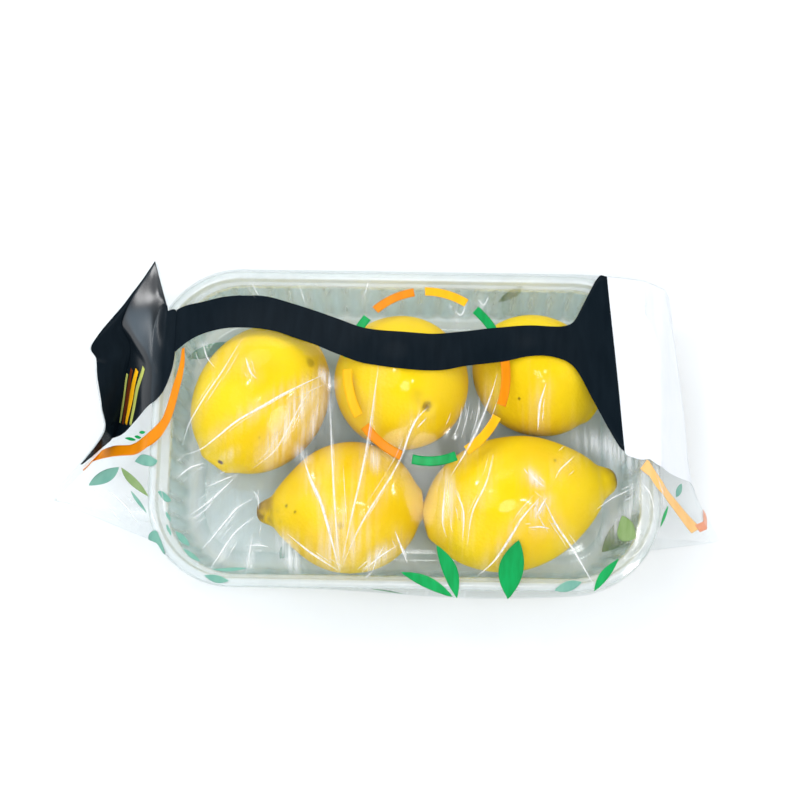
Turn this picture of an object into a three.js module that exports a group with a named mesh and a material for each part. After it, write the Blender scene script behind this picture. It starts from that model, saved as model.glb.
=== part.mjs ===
// The closed outer form of a clear ribbed tray of five lemons, flow-wrapped in clear printed film.
// One loft of closed rings runs the length of the pack: round the tray between its two ends, then
// from the tray's ends to the flat seals, then out along the seal fins. Millimetres, +Z up,
// +X to the pack's right end, +Y to its back, with the origin under the middle of the base.
import * as THREE from 'three';

// Tray under the film
const TRAY_LENGTH = 230;
const TRAY_WIDTH = 144.5;
const CORNER_RADIUS = 39;
const RIM_HEIGHT = 50;
const BASE_INSET = 10;
const FLOOR_HEIGHT = 3.5;

// Film round the tray
const FILM_GAP = 0.6;
const END_X = 109.5;
const END_RISE = 2;
const BASE_LEVEL_X = 100;
const BASE_RAMP = 0.45;
const FRONT_BULGE = { depth: 3.2, centre: 35, reach: 85 };
const SAG_CURVATURE = 0.006;
const BACK_RIGHT_DROP = 2.5;

// How finely the loft is cut
const STATIONS = 38;
const ACROSS = 26;
const SLOPE_RINGS = 7;
const FIN_RINGS = 3;
const SOLVE_STEPS = 500;

// Each lemon as an ellipsoid resting on the tray's floor: its place in plan, its radius across,
// half its length, the turn of its axis in plan and the lift of that axis, in degrees
const LEMONS = [
  { x: -67.1, y: 15.2, across: 30.7, along: 37, turn: 56, lift: 0 },
  { x: -2, y: 23.2, across: 31.3, along: 34.6, turn: -61, lift: 66 },
  { x: 61, y: 28.9, across: 27.8, along: 31.2, turn: 150, lift: 10 },
  { x: -24.2, y: -34.7, across: 30.3, along: 32.4, turn: 184, lift: 0 },
  { x: 48.6, y: -31.9, across: 30.9, along: 39.8, turn: 14, lift: 0 },
];

// Each seal from the back to the front: t runs along it, then the place of its crease and the
// reach of its fin from there
const SEAL_THICKNESS = 1.2;
const LEFT_SEAL = [
  { t: 0, at: [-115, 74, 58], fin: [-2, -3, -12] },
  { t: 0.25, at: [-130.7, 48, 50], fin: [-12.7, -11.5, 2] },
  { t: 0.36, at: [-127.3, 37, 44], fin: [-15.3, -7, 3] },
  { t: 0.48, at: [-129.9, 24.5, 38], fin: [-11.8, -3, 9] },
  { t: 0.61, at: [-132.4, 11, 32], fin: [-7, -2.5, 13] },
  { t: 0.75, at: [-138, -3, 25], fin: [-1.5, -1, 14.5] },
  { t: 1, at: [-164.6, -31.8, 16], fin: [-2, -2.5, 13] },
];
const RIGHT_SEAL = [
  { t: 0, at: [119, 67.5, 47], fin: [4, -2, -10] },
  { t: 0.25, at: [124, 42, 41], fin: [3.5, -1, -14] },
  { t: 0.5, at: [128.3, 13, 35], fin: [3.5, -1, -14] },
  { t: 0.75, at: [132.5, -19, 28], fin: [4, 0, -13.5] },
  { t: 1, at: [144, -47, 17], fin: [6, 2, -8] },
];

const lerp = (a, b, f) => a + (b - a) * f;

// Catmull-Rom value at t of a list of vectors that stand at the places in times
function splineAt(times, values, t) {
  let k = 0;
  while (k < times.length - 2 && t > times[k + 1]) k += 1;
  const f = (t - times[k]) / (times[k + 1] - times[k]);
  const slope = (i) => {
    const a = Math.max(i - 1, 0);
    const b = Math.min(i + 1, times.length - 1);
    return values[b].clone().sub(values[a]).divideScalar(times[b] - times[a]);
  };
  const span = times[k + 1] - times[k];
  const f2 = f * f;
  const f3 = f2 * f;
  return values[k].clone().multiplyScalar(2 * f3 - 3 * f2 + 1)
    .addScaledVector(slope(k), (f3 - 2 * f2 + f) * span)
    .addScaledVector(values[k + 1], 3 * f2 - 2 * f3)
    .addScaledVector(slope(k + 1), (f3 - f2) * span);
}

// Half the width of a rounded rectangle at x
function halfWidth(x, halfLength, half, radius) {
  const past = Math.abs(x) - (halfLength - radius);
  if (past <= 0) return half;
  return half - radius + Math.sqrt(Math.max(radius * radius - past * past, 0));
}

const rimHalf = (x) => halfWidth(x, TRAY_LENGTH / 2, TRAY_WIDTH / 2, CORNER_RADIUS) + FILM_GAP;

// How far out the tray's rim reaches at y
const rimReach = (y) => halfWidth(y, TRAY_WIDTH / 2, TRAY_LENGTH / 2, CORNER_RADIUS) + FILM_GAP;

const baseHalf = (x) =>
  halfWidth(x, TRAY_LENGTH / 2 - 2, TRAY_WIDTH / 2 - BASE_INSET, CORNER_RADIUS - 2) + FILM_GAP;

// The film leaves the back right corner early and runs straight on to the seal
function backEdge(x) {
  if (x < TRAY_LENGTH / 2 - CORNER_RADIUS) return rimHalf(x);
  const past = (x - (TRAY_LENGTH / 2 - CORNER_RADIUS)) / (END_X - (TRAY_LENGTH / 2 - CORNER_RADIUS));
  return TRAY_WIDTH / 2 + FILM_GAP - BACK_RIGHT_DROP * past * past;
}

const bulgeAt = (x) => {
  const f = Math.min(Math.abs(x - FRONT_BULGE.centre) / FRONT_BULGE.reach, 1);
  return FRONT_BULGE.depth * Math.cos(f * Math.PI / 2) ** 2;
};

const frontEdge = (x) => -(rimHalf(x) + bulgeAt(x));

const baseHeight = (x) => Math.max(Math.abs(x) - BASE_LEVEL_X, 0) * BASE_RAMP;

// Height of a lemon's upper side over a place in plan, or -1 beside it
function lemonTop(lemon, x, y) {
  const turn = THREE.MathUtils.degToRad(lemon.turn);
  const lift = THREE.MathUtils.degToRad(lemon.lift);
  const axis = [Math.cos(lift) * Math.cos(turn), Math.cos(lift) * Math.sin(turn), Math.sin(lift)];
  const r2 = 1 / lemon.across ** 2;
  const more = 1 / lemon.along ** 2 - r2;
  const dx = x - lemon.x;
  const dy = y - lemon.y;
  const half = Math.hypot(lemon.along * axis[2], lemon.across * Math.cos(lift));
  const side = axis[0] * dx + axis[1] * dy;
  const a = r2 + more * axis[2] ** 2;
  const b = more * axis[2] * side;
  const c = r2 * (dx * dx + dy * dy) + more * side * side - 1;
  const root = b * b - a * c;
  return root < 0 ? -1 : FLOOR_HEIGHT + half + (-b + Math.sqrt(root)) / a;
}

// Heights of the film over the tray: each free place is the mean of its neighbours, weighed by how
// near they are, less a little sag, and no lower than the lemon under it
function filmHeights(xs) {
  const n = ACROSS;
  const place = xs.map((x) => Array.from({ length: n + 1 }, (_, j) =>
    lerp(backEdge(x), frontEdge(x), j / n)));
  const least = xs.map((x, i) => place[i].map((y) =>
    Math.max(RIM_HEIGHT, ...LEMONS.map((lemon) => lemonTop(lemon, x, y) + FILM_GAP))));
  const z = xs.map((x, i) => place[i].map((y, j) => {
    const end = i === 0 || i === xs.length - 1;
    const across = 2 * j / n - 1;
    return RIM_HEIGHT + FILM_GAP + (end ? END_RISE * (1 - across * across) : 0)
      - (j === n ? bulgeAt(x) : 0);
  }));
  for (let step = 0; step < SOLVE_STEPS; step += 1) {
    for (let i = 1; i < xs.length - 1; i += 1) {
      const dx = (xs[i + 1] - xs[i - 1]) / 2;
      const dy = (place[i][0] - place[i][n]) / n;
      const wx = 1 / (dx * dx);
      const wy = 1 / (dy * dy);
      for (let j = 1; j < n; j += 1) {
        const pull = wx * (z[i - 1][j] + z[i + 1][j]) + wy * (z[i][j - 1] + z[i][j + 1]);
        z[i][j] = Math.max((pull - SAG_CURVATURE) / (2 * (wx + wy)), least[i][j]);
      }
    }
  }
  return z;
}

// A ring is the top from back to front, a point halfway down the front, the underside from front
// to back, and a point halfway up the back
function trayRing(x, heights) {
  const back = backEdge(x);
  const front = frontEdge(x);
  const base = baseHalf(x);
  const baseBack = Math.max(base, back - BASE_INSET);
  const low = baseHeight(x);
  const top = heights.map((z, j) => new THREE.Vector3(x, lerp(back, front, j / ACROSS), z));
  const under = heights.map((_, j) => new THREE.Vector3(x, lerp(-base, baseBack, j / ACROSS), low));
  const middle = (low + RIM_HEIGHT) / 2;
  return {
    top,
    front: new THREE.Vector3(x, (front - base) / 2 - bulgeAt(x) / 2, middle),
    under,
    back: new THREE.Vector3(x, (back + baseBack) / 2, middle),
  };
}

// The seal's crease, fin and thickness directions at t
function sealAt(seal, t) {
  const times = seal.map((s) => s.t);
  const at = (time) => splineAt(times, seal.map((s) => new THREE.Vector3(...s.at)), time);
  const fin = splineAt(times, seal.map((s) => new THREE.Vector3(...s.fin)), t);
  const step = 0.01;
  const along = at(Math.min(t + step, 1)).sub(at(Math.max(t - step, 0)));
  const side = Math.sign(seal[0].at[0]);
  const thick = new THREE.Vector3().crossVectors(along, fin).normalize().multiplyScalar(side);
  return { crease: at(t), fin, thick: thick.multiplyScalar(SEAL_THICKNESS / 2) };
}

// A flat ring on the seal, f of the way out along its fin
function sealRing(seal, f) {
  const parts = Array.from({ length: ACROSS + 1 }, (_, j) => sealAt(seal, j / ACROSS));
  const middle = parts.map((p) => p.crease.clone().addScaledVector(p.fin, f));
  const ends = [0, ACROSS].map((j) => {
    const inner = middle[j === 0 ? 1 : ACROSS - 1];
    return middle[j].clone().add(middle[j].clone().sub(inner).setLength(SEAL_THICKNESS / 2));
  });
  return {
    top: middle.map((p, j) => p.clone().add(parts[j].thick)),
    front: ends[1],
    under: middle.map((p, j) => p.clone().sub(parts[j].thick)).reverse(),
    back: ends[0],
  };
}

// A ring s of the way from the tray's end to the seal: the top stays over the rim, then slopes
// down in a soft curve, and the underside rises straight to the seal
function slopeRing(end, seal, s) {
  const top = end.top.map((p, j) => {
    const reach = Math.max(rimReach(p.y) - END_X, 0);
    const out = Math.abs(seal.top[j].x) - END_X;
    const over = Math.min(reach / out, 0.9);
    const q = p.clone().lerp(seal.top[j], s);
    const rim = Math.min(p.z, RIM_HEIGHT + FILM_GAP);
    q.z = s < over ? lerp(p.z, rim, s / over) : lerp(rim, seal.top[j].z, (s - over) / (1 - over));
    return q;
  });
  const mix = (a, b) => a.clone().lerp(b, s);
  return {
    top,
    front: mix(end.front, seal.front),
    under: end.under.map((p, j) => mix(p, seal.under[j])),
    back: mix(end.back, seal.back),
  };
}

const ringPoints = (ring) => [...ring.top, ring.front, ...ring.under, ring.back];

// Closed faceted solid through the rings, with its two flat ends filled by a strip of quads
function loftedSolid(rings) {
  const loops = rings.map(ringPoints);
  const count = loops[0].length;
  const positions = [];
  const indices = [];
  loops.forEach((loop) => loop.forEach((p) => positions.push(p.x, p.y, p.z)));
  const quad = (a, b, c, d) => indices.push(a, b, c, a, c, d);
  for (let i = 0; i < loops.length - 1; i += 1) {
    for (let j = 0; j < count; j += 1) {
      const next = (j + 1) % count;
      quad(i * count + j, i * count + next, (i + 1) * count + next, (i + 1) * count + j);
    }
  }
  const fill = (first, turned) => {
    const put = (a, b, c) => (turned ? indices.push(a, c, b) : indices.push(a, b, c));
    for (let j = 0; j < ACROSS; j += 1) {
      const low = 2 * ACROSS + 2 - j;
      put(first + j, first + low, first + j + 1);
      put(first + j + 1, first + low, first + low - 1);
    }
    put(first + ACROSS, first + ACROSS + 2, first + ACROSS + 1);
    put(first, first + count - 1, first + count - 2);
  };
  fill(0, false);
  fill((loops.length - 1) * count, true);
  const geometry = new THREE.BufferGeometry();
  geometry.setAttribute('position', new THREE.Float32BufferAttribute(positions, 3));
  geometry.setIndex(indices);
  geometry.computeVertexNormals();
  return geometry;
}

function wrappedTray() {
  const xs = Array.from({ length: STATIONS + 1 }, (_, i) => lerp(-END_X, END_X, i / STATIONS));
  const heights = filmHeights(xs);
  const tray = xs.map((x, i) => trayRing(x, heights[i]));
  const endRings = (end, seal) => {
    const crease = sealRing(seal, 0);
    const slopes = Array.from({ length: SLOPE_RINGS - 1 }, (_, k) =>
      slopeRing(end, crease, (k + 1) / SLOPE_RINGS));
    const fins = Array.from({ length: FIN_RINGS }, (_, k) => sealRing(seal, (k + 1) / FIN_RINGS));
    return [...slopes, crease, ...fins];
  };
  return loftedSolid([
    ...endRings(tray[0], LEFT_SEAL).reverse(),
    ...tray,
    ...endRings(tray[tray.length - 1], RIGHT_SEAL),
  ]);
}

const pack = new THREE.Group();
const film = new THREE.MeshStandardMaterial({ color: 0xf0de62, roughness: 0.2, metalness: 0 });
const wrapped = new THREE.Mesh(wrappedTray(), film);
wrapped.name = 'film_wrapped_lemon_tray';
pack.add(wrapped);

export default pack;
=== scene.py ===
"""The looks of a film-wrapped tray of lemons: clear film, ribbed tray, five lemons and the print.

Lengths are in millimetres until a mesh is made. The film is one sheet with its own flat
coordinates: u runs along the pack and v across it, both in millimetres of film. film_place carries
(u, v) onto the pack, so the film and all that is printed on it share one surface.
"""

import math

import bmesh
import bpy
import numpy as np
from mathutils import Matrix


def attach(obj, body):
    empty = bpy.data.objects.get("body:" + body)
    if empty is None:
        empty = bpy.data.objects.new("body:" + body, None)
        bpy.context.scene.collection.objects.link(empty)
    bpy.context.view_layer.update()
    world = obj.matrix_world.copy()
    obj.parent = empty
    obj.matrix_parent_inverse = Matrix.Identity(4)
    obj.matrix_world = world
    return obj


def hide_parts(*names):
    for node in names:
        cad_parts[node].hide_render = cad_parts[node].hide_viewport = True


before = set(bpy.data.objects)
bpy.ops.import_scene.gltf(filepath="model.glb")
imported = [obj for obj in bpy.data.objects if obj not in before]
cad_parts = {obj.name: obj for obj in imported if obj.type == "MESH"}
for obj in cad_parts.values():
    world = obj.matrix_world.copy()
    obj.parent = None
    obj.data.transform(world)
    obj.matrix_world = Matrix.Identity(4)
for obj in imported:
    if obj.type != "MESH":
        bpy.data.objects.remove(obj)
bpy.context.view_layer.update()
NODE = "film_wrapped_lemon_tray"
MM = 0.001

# The tray and the film round it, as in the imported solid
TRAY_LENGTH = 230.0
TRAY_WIDTH = 144.5
CORNER_RADIUS = 39.0
RIM_HEIGHT = 50.0
BASE_INSET = 10.0
FLOOR_HEIGHT = 3.5
FILM_GAP = 0.6
END_X = 109.5
END_RISE = 2.0
BASE_LEVEL_X = 100.0
BASE_RAMP = 0.45
BULGE_DEPTH = 3.2
BULGE_CENTRE = 35.0
BULGE_REACH = 85.0
SAG_CURVATURE = 0.006
BACK_RIGHT_DROP = 2.5
SEAL_GAP = 0.15

# Film coordinates: the sheet's width over the tray and under it, the run of a slope, a fin and a side
SHEET_WIDTH = 146.0
UNDER_WIDTH = 125.0
SLOPE_RUN = 26.0
FIN_WIDTH = 15.0
SIDE_RUN = 51.0
FIN_EDGE = END_X + SLOPE_RUN + FIN_WIDTH

# How finely the film is cut
STATIONS = 240
ACROSS = 160
SLOPE_ROWS = 30
FIN_ROWS = 24
SIDE_ROWS = 12
UNDER_COLUMNS = 40

# How its height over the tray is worked out: sweeps on each grid, and how far past its mean a place goes
SWEEPS = 260
OVERSHOOT = 1.85

# Each seal from the back to the front: t along it, its crease, and the reach of its fin
LEFT_SEAL = (
    (0.0, (-115, 74, 58), (-2, -3, -12)),
    (0.25, (-130.7, 48, 50), (-12.7, -11.5, 2)),
    (0.36, (-127.3, 37, 44), (-15.3, -7, 3)),
    (0.48, (-129.9, 24.5, 38), (-11.8, -3, 9)),
    (0.61, (-132.4, 11, 32), (-7, -2.5, 13)),
    (0.75, (-138, -3, 25), (-1.5, -1, 14.5)),
    (1.0, (-164.6, -31.8, 16), (-2, -2.5, 13)),
)
RIGHT_SEAL = (
    (0.0, (119, 67.5, 47), (4, -2, -10)),
    (0.25, (124, 42, 41), (3.5, -1, -14)),
    (0.5, (128.3, 13, 35), (3.5, -1, -14)),
    (0.75, (132.5, -19, 28), (4, 0, -13.5)),
    (1.0, (144, -47, 17), (6, 2, -8)),
)
SEALS = ((LEFT_SEAL, -1), (RIGHT_SEAL, 1))


def lemon(x, y, across, along, turn, lift, tip):
    """A lemon that rests on the floor: its centre, radii, axis and how far its tip stands out."""
    turned, lifted = math.radians(turn), math.radians(lift)
    axis = np.array([
        math.cos(lifted) * math.cos(turned),
        math.cos(lifted) * math.sin(turned),
        math.sin(lifted),
    ])
    half = math.hypot(along * axis[2], across * math.cos(lifted))
    centre = np.array([x, y, FLOOR_HEIGHT + half])
    return {"centre": centre, "across": across, "along": along, "axis": axis, "tip": tip}


LEMONS = {
    "lemon_upper_left": lemon(-67.1, 15.2, 30.7, 37, 56, 0, tip=1.5),
    "lemon_upper_middle": lemon(-2, 23.2, 31.3, 34.6, -61, 66, tip=0),
    "lemon_upper_right": lemon(61, 28.9, 27.8, 31.2, 150, 10, tip=0.8),
    "lemon_lower_left": lemon(-24.2, -34.7, 30.3, 32.4, 184, 0, tip=11),
    "lemon_lower_right": lemon(48.6, -31.9, 30.9, 39.8, 14, 0, tip=11),
}

# Sharp folds of the film over the pack, as points of the sheet, with the fold's width and whiteness; the
# white is partly the crease's own whitening and partly painted glint
FOLDS = (
    (1.3, 0.9, ((-34, 50), (-53, 60), (-64, 67), (-76, 74), (-84, 80), (-92, 86), (-101, 90))),
    (1.2, 0.5, ((-41, 56), (-47, 66), (-52, 76), (-58, 86), (-68, 94))),
    (1.1, 0.6, ((-74, 34), (-82, 50), (-91, 63), (-97, 74), (-100, 86))),
    (1.0, 0.6, ((-93, 32), (-90, 42), (-86, 48))),
    (1.3, 0.8, ((-72, 44), (-69, 52), (-66, 55))),
    (1.1, 0.9, ((-74, 96), (-84, 106), (-96, 118))),
    (1.1, 0.9, ((-66, 106), (-75, 112), (-90, 132))),
    (1.1, 0.9, ((-65, 114), (-75, 122), (-86, 140))),
    (1.2, 0.7, ((-28, 138), (-40, 131), (-52, 122))),
    (1.8, 0.9, ((-46, 86), (-42, 97), (-36, 110), (-28, 138))),
    (1.4, 0.6, ((-34, 63), (-32, 90), (-28, 138))),
    (1.4, 0.6, ((-12, 47), (-18, 90), (-28, 138))),
    (1.3, 0.6, ((4, 70), (-2, 88), (-19, 118), (-28, 138))),
    (1.3, 0.9, ((-4, 119), (2, 133))),
    (1.4, 0.9, ((60, 103), (51, 113), (48, 118), (40, 130), (32, 137))),
    (1.4, 0.9, ((60, 103), (66, 114), (75, 126), (85, 143))),
    (1.4, 0.8, ((41, 48), (38, 58), (30, 78), (20, 95))),
    (1.4, 0.9, ((63, 52), (60, 62), (59, 74))),
    (1.2, 0.6, ((39, 84), (36, 97), (30, 110), (28, 124))),
    (1.1, 0.8, ((18, 98), (17, 114), (19, 121))),
    (1.1, 0.8, ((22, 100), (26, 109), (26, 122))),
    (1.0, 0.6, ((105, 106), (93, 106), (84, 110))),
    (1.3, 0.8, ((10, 65), (4, 72), (-2, 88))),
    (1.2, 0.8, ((-102, 102), (-96, 95), (-89, 91.5))),
    (1.0, 0.7, ((-89, 103), (-81.5, 99), (-74, 96))),
    (0.9, 0.6, ((-95.5, 120), (-88.5, 113), (-84.5, 107))),
    (1.0, 0.8, ((-67, 123), (-68, 129.5), (-69.5, 140.5))),
    (0.9, 0.8, ((-70, 127.5), (-62.5, 127.5), (-59, 128.5))),
    (0.9, 0.6, ((-67.5, 103), (-65, 106.5), (-64.5, 112))),
    (1.0, 0.6, ((-109.5, 108), (-107.5, 117.5), (-106, 127))),
    (1.0, 0.6, ((-112.5, 123.5), (-109.5, 135.5), (-103.5, 139.5))),
    (0.8, 0.5, ((-126, 130.5), (-119.5, 133.5), (-113.5, 140.5))),
    (1.0, 0.6, ((105.5, 104.5), (110.5, 119.5), (111.5, 133))),
    (0.9, 0.7, ((112.5, 104), (115.5, 115), (116, 126))),
    (1.0, 0.7, ((98.5, 137.5), (105, 139), (111.5, 135.5))),
    (0.8, 0.5, ((25, 63.5), (23.5, 72), (20.5, 78.5))),
    (0.8, 0.5, ((28.5, 61), (27, 69.5), (24.5, 78.5))),
    (0.8, 0.6, ((33, 58.5), (31.5, 69.5), (28.5, 78.5))),
    (0.8, 0.5, ((-66.5, 15), (-70, 10), (-72.5, 5))),
    (0.8, 0.5, ((-49.5, 7.5), (-48, 12.5), (-46, 17.5))),
    (0.8, 0.5, ((-18, 4.5), (-19, 10.5), (-21.5, 15.5))),
    (0.9, 0.8, ((21, 18.5), (24.5, 21.5), (27, 15))),
    (0.9, 0.8, ((32.5, 13.5), (35, 16), (37.5, 11))),
    (1.0, 0.6, ((76, 84.5), (68.5, 91.5), (66, 96))),
    (1.0, 0.8, ((-18, 137.5), (-10.5, 130.5), (-2.5, 125))),
    (0.9, 0.8, ((-14, 138.5), (-12, 132), (-8.5, 125.5))),
    (1.2, 0.9, ((57, 112.5), (60, 107), (62.5, 103.5))),
    (1.0, 0.9, ((54, 91.5), (57.5, 96.5), (61.5, 99.5))),
    (0.9, 0.8, ((54, 116.5), (59.5, 116), (65, 117))),
)

# Wide milky patches, partly crumpled film and partly painted sheen, with painted light over a shaded part at
# the right end: reach, whiteness and points of the sheet
VEILS_AND_SHEENS = (
    (5.0, 0.9, ((-38.5, 52.5), (-46, 63), (-55.5, 79), (-63.5, 91))),
    (4.0, 0.7, ((-35, 56), (-37, 67.5), (-46.5, 83.5))),
    (2.5, 1.0, ((-38.5, 50), (-35.5, 53.5), (-32.5, 57))),
    (2.5, 0.35, ((-83, 91), (-80.5, 89), (-75, 85))),
    (4.5, 0.8, ((75, 77), (83, 78.5), (92, 82.5), (101, 91), (105, 102))),
    (5.0, 0.8, ((104, 100), (103.5, 108), (101, 114), (95, 119), (88, 122))),
    (3.0, 0.8, ((-48, 83), (-46, 87), (-43.5, 91))),
    (7.0, 0.6, ((-32, 137.5), (-30, 125), (-26, 110))),
    (6.0, 0.5, ((-32, 137.5), (-23.5, 126.5), (-18.5, 116))),
    (3.5, 1.0, ((-54.5, 122), (-51, 130.5), (-46.5, 139))),
    (3.0, 0.9, ((-15, 85), (-13.5, 88.5), (-12, 93.5))),
    (3.5, 0.8, ((-18, 137.5), (-10.5, 130.5), (-2.5, 125))),
    (3.0, 1.0, ((57, 112.5), (60, 107), (62.5, 103.5))),
    (2.5, 0.9, ((54, 91.5), (57.5, 96.5), (61.5, 99.5))),
    (3.0, 0.6, ((18, 91), (20, 102.5), (19.5, 115.5))),
)


def unit(vectors):
    """Each vector along the last axis, one long."""
    return vectors / np.maximum(np.linalg.norm(vectors, axis=-1, keepdims=True), 1e-9)


def spline(times, values, t):
    """Cubic curve through values at times, its slope at each the chord of its two neighbours."""
    times = np.asarray(times, float)
    values = np.asarray(values, float)
    low = np.maximum(np.arange(len(times)) - 1, 0)
    high = np.minimum(np.arange(len(times)) + 1, len(times) - 1)
    slopes = (values[high] - values[low]) / (times[high] - times[low])[:, None]
    t = np.clip(np.asarray(t, float), times[0], times[-1])
    k = np.clip(np.searchsorted(times, t, side="right") - 1, 0, len(times) - 2)
    span = (times[k + 1] - times[k])[..., None]
    f = (t - times[k])[..., None] / span
    f2, f3 = f * f, f * f * f
    return (
        values[k] * (2 * f3 - 3 * f2 + 1) + slopes[k] * (f3 - 2 * f2 + f) * span
        + values[k + 1] * (3 * f2 - 2 * f3) + slopes[k + 1] * (f3 - f2) * span
    )


def curve_through(points, count):
    """A smooth run of count places through points, evenly spread by the chords between them."""
    points = np.asarray(points, float)
    chords = np.linalg.norm(np.diff(points, axis=0), axis=1)
    times = np.concatenate([[0], np.cumsum(chords)])
    return spline(times, points, np.linspace(0, times[-1], count))


def half_width(x, half_length, half, radius):
    """Half the width at x of a rounded rectangle: half, less a quarter circle's drop past the straight."""
    past = np.clip(np.abs(x) - (half_length - radius), 0, radius)
    return half - radius + np.sqrt(radius**2 - past**2)


def rim_half(x):
    return half_width(x, TRAY_LENGTH / 2, TRAY_WIDTH / 2, CORNER_RADIUS) + FILM_GAP


def rim_reach(y):
    return half_width(y, TRAY_WIDTH / 2, TRAY_LENGTH / 2, CORNER_RADIUS) + FILM_GAP


def base_half(x):
    return half_width(x, TRAY_LENGTH / 2 - 2, TRAY_WIDTH / 2 - BASE_INSET, CORNER_RADIUS - 2) + FILM_GAP


def back_edge(x):
    """The film's back edge over the rim. It leaves the back right corner early, with a square-law drop."""
    start = TRAY_LENGTH / 2 - CORNER_RADIUS
    past = np.clip((x - start) / (END_X - start), 0, 1)
    return np.where(x < start, rim_half(x), TRAY_WIDTH / 2 + FILM_GAP - BACK_RIGHT_DROP * past**2)


def bulge(x):
    """How far the film stands out over the front rim: a squared cosine hump."""
    f = np.clip(np.abs(x - BULGE_CENTRE) / BULGE_REACH, 0, 1)
    return BULGE_DEPTH * np.cos(f * np.pi / 2) ** 2


def front_edge(x):
    return -(rim_half(x) + bulge(x))


def base_height(x):
    return np.maximum(np.abs(x) - BASE_LEVEL_X, 0) * BASE_RAMP


def lemon_top(one, x, y):
    """Height of an ellipsoid's upper side over (x, y), the greater root of its quadric, or -1 beside it."""
    r2 = 1 / one["across"] ** 2
    more = 1 / one["along"] ** 2 - r2
    dx, dy = x - one["centre"][0], y - one["centre"][1]
    axis = one["axis"]
    side = axis[0] * dx + axis[1] * dy
    a = r2 + more * axis[2] ** 2
    b = more * axis[2] * side
    root = b * b - a * (r2 * (dx * dx + dy * dy) + more * side * side - 1)
    return np.where(root < 0, -1.0, one["centre"][2] + (np.sqrt(np.maximum(root, 0)) - b) / a)


def top_height(one, x, y):
    return float(lemon_top(one, np.array(x), np.array(y)))


def read_grid(z, i, j):
    """Values of a grid at fractional rows i and columns j, by the four nearest."""
    i = np.clip(i, 0, z.shape[0] - 1.0001)
    j = np.clip(j, 0, z.shape[1] - 1.0001)
    i0, j0 = np.floor(i).astype(int), np.floor(j).astype(int)
    a, b = i - i0, j - j0
    return (
        z[i0, j0] * (1 - a) * (1 - b) + z[i0 + 1, j0] * a * (1 - b)
        + z[i0, j0 + 1] * (1 - a) * b + z[i0 + 1, j0 + 1] * a * b
    )


def relaxed_film(stations, across, start=None):
    """Heights of the film over the tray on a grid of stations by places across.

    Each free place is the mean of its neighbours, weighed by the inverse square of their distance,
    less a little sag, and no lower than the lemon under it. Odd and even places take turns, each
    moving OVERSHOOT times as far as its mean asks.
    """
    x = np.linspace(-END_X, END_X, stations + 1)[:, None]
    t = np.linspace(0, 1, across + 1)[None, :]
    back, front = back_edge(x), front_edge(x)
    y = back + (front - back) * t
    least = np.full(y.shape, RIM_HEIGHT)
    for one in LEMONS.values():
        least = np.maximum(least, lemon_top(one, x + 0 * y, y) + FILM_GAP)
    end = END_RISE * (1 - (2 * t - 1) ** 2)
    z = np.full(y.shape, RIM_HEIGHT + FILM_GAP) if start is None else start.copy()
    z[[0, -1]] = RIM_HEIGHT + FILM_GAP + end
    z[:, 0] = RIM_HEIGHT + FILM_GAP
    z[:, -1] = RIM_HEIGHT + FILM_GAP - bulge(x[:, 0])
    wx = (stations / (2 * END_X)) ** 2
    wy = ((across / (back - front)) ** 2)[1:-1]
    odd = (np.add.outer(np.arange(stations - 1), np.arange(across - 1)) % 2).astype(bool)
    inner = z[1:-1, 1:-1]
    for sweep in range(2 * SWEEPS):
        turn = odd if sweep % 2 else ~odd
        pull = wx * (z[2:, 1:-1] + z[:-2, 1:-1]) + wy * (z[1:-1, 2:] + z[1:-1, :-2])
        mean = (pull - SAG_CURVATURE) / (2 * (wx + wy))
        moved = np.maximum(inner + OVERSHOOT * (mean - inner), least[1:-1, 1:-1])
        inner[turn] = moved[turn]
    return z


def finer(z, stations, across):
    """A height grid read at more places, by straight lines between its own."""
    rows = np.linspace(0, z.shape[0] - 1, stations + 1)
    columns = np.linspace(0, z.shape[1] - 1, across + 1)
    return read_grid(z, rows[:, None], columns[None, :])


def film_over_tray():
    """The film's heights, solved coarse first, then twice as fine until the last grid."""
    z = relaxed_film(STATIONS // 4, ACROSS // 4)
    for share in (2, 1):
        stations, across = STATIONS // share, ACROSS // share
        z = relaxed_film(stations, across, finer(z, stations, across))
    return z


FILM_Z = film_over_tray()


def seal_parts(seal, t):
    """A seal's crease, fin reach and unit thickness direction at t."""
    times, creases, fins = zip(*seal)
    step = 0.01
    fin = spline(times, fins, t)
    after, before = np.minimum(t + step, 1), np.maximum(t - step, 0)
    along = spline(times, creases, after) - spline(times, creases, before)
    return spline(times, creases, t), fin, unit(np.cross(along, fin) * np.sign(creases[0][0]))


def tray_top(x, t):
    """The film over the tray at station x and share t of the way across, with no folds."""
    back, front = back_edge(x), front_edge(x)
    z = read_grid(FILM_Z, (x + END_X) / (2 * END_X) * STATIONS, t * ACROSS)
    return np.stack([x + 0 * t, back + (front - back) * t, z + 0 * x], -1)


def side_place(x, r, front):
    """The film down a long side, r from the rim to the base: a parabola through its middle point."""
    top = np.where(front, front_edge(x), back_edge(x))
    high = RIM_HEIGHT + FILM_GAP - np.where(front, bulge(x), 0)
    low = base_height(x)
    bottom = np.where(front, -base_half(x), np.maximum(base_half(x), top - BASE_INSET))
    middle = (top + bottom) / 2 - np.where(front, bulge(x) / 2, 0)
    first, second, third = (1 - r) * (1 - 2 * r), 4 * r * (1 - r), r * (2 * r - 1)
    y = first * top + second * middle + third * bottom
    z = first * high + second * (low + RIM_HEIGHT) / 2 + third * low
    return np.stack([x + 0 * r, y, z], -1)


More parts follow.
